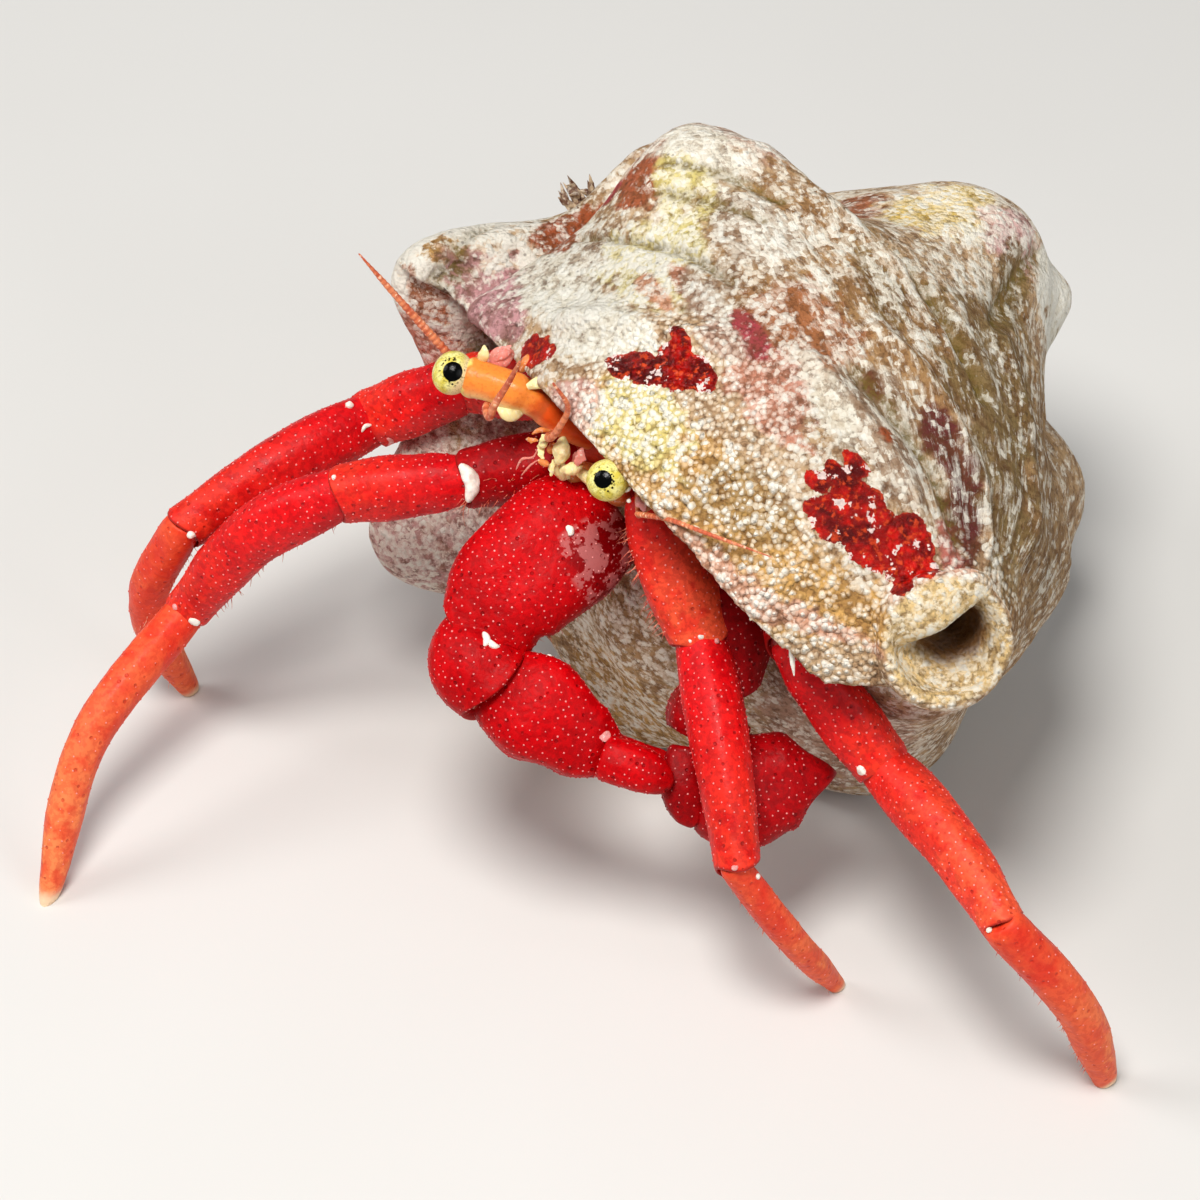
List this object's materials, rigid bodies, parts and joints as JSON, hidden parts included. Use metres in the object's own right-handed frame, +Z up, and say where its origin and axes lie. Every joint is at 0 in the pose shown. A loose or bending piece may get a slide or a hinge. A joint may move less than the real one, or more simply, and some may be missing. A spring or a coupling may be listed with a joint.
{
  "type": "hermit crab",
  "caption": "Still life-size model of a red reef hermit crab walking in a worn, knobbly snail shell, with orange stalked eyes and pale yellow corneas.",
  "frame": {"origin": "middle of the outline on the floor, level with the flats of the leg tips and of the shell", "axes": "the crab faces -Y, its left side is +X, +Z is up"},
  "size_m": [0.0456, 0.0384, 0.0265],
  "materials": {
    "snail_shell": "worn, chalky, encrusted lime shell with cream, lilac, olive and brown patches and blood-red spots",
    "scarlet_cuticle": "satin scarlet crust with fine raised pale dots",
    "orange_cuticle": "satin orange-red crust, pale at the tip",
    "cornea": "glossy, pale yellow with dark speckles and a black centre",
    "eyestalk": "satin orange with a pale band",
    "feeler": "satin, ringed reddish brown",
    "mouthpart": "satin, pale yellow",
    "soft_skin": "soft skin"
  },
  "bodies": {
    "root": {"abdomen": "soft_skin", "carapace": "scarlet_cuticle", "left_antenna_flagellum": "feeler", "left_antenna_stalk": "feeler", "left_antennule": "feeler", "left_claw_carpus": "scarlet_cuticle", "left_claw_finger": "scarlet_cuticle", "left_claw_merus": "scarlet_cuticle", "left_claw_palm": "scarlet_cuticle", "left_cornea": "cornea", "left_eyestalk": "eyestalk", "left_front_leg_carpus": "scarlet_cuticle", "left_front_leg_dactyl": "orange_cuticle", "left_front_leg_merus": "scarlet_cuticle", "left_front_leg_propodus": "scarlet_cuticle", "left_hind_leg": "scarlet_cuticle", "left_maxilliped": "mouthpart", "left_rear_leg_carpus": "scarlet_cuticle", "left_rear_leg_dactyl": "orange_cuticle", "left_rear_leg_merus": "scarlet_cuticle", "left_rear_leg_propodus": "scarlet_cuticle", "right_antenna_flagellum": "feeler", "right_antenna_stalk": "feeler", "right_antennule": "feeler", "right_claw_carpus": "scarlet_cuticle", "right_claw_finger": "scarlet_cuticle", "right_claw_merus": "scarlet_cuticle", "right_claw_palm": "scarlet_cuticle", "right_cornea": "cornea", "right_eyestalk": "eyestalk", "right_front_leg_carpus": "scarlet_cuticle", "right_front_leg_dactyl": "orange_cuticle", "right_front_leg_merus": "scarlet_cuticle", "right_front_leg_propodus": "scarlet_cuticle", "right_hind_leg": "scarlet_cuticle", "right_maxilliped": "mouthpart", "right_rear_leg_carpus": "scarlet_cuticle", "right_rear_leg_dactyl": "orange_cuticle", "right_rear_leg_merus": "scarlet_cuticle", "right_rear_leg_propodus": "scarlet_cuticle", "shell_body_whorl": "snail_shell", "shell_siphonal_canal": "snail_shell", "shell_spire": "snail_shell"}
  },
  "joints": []
}
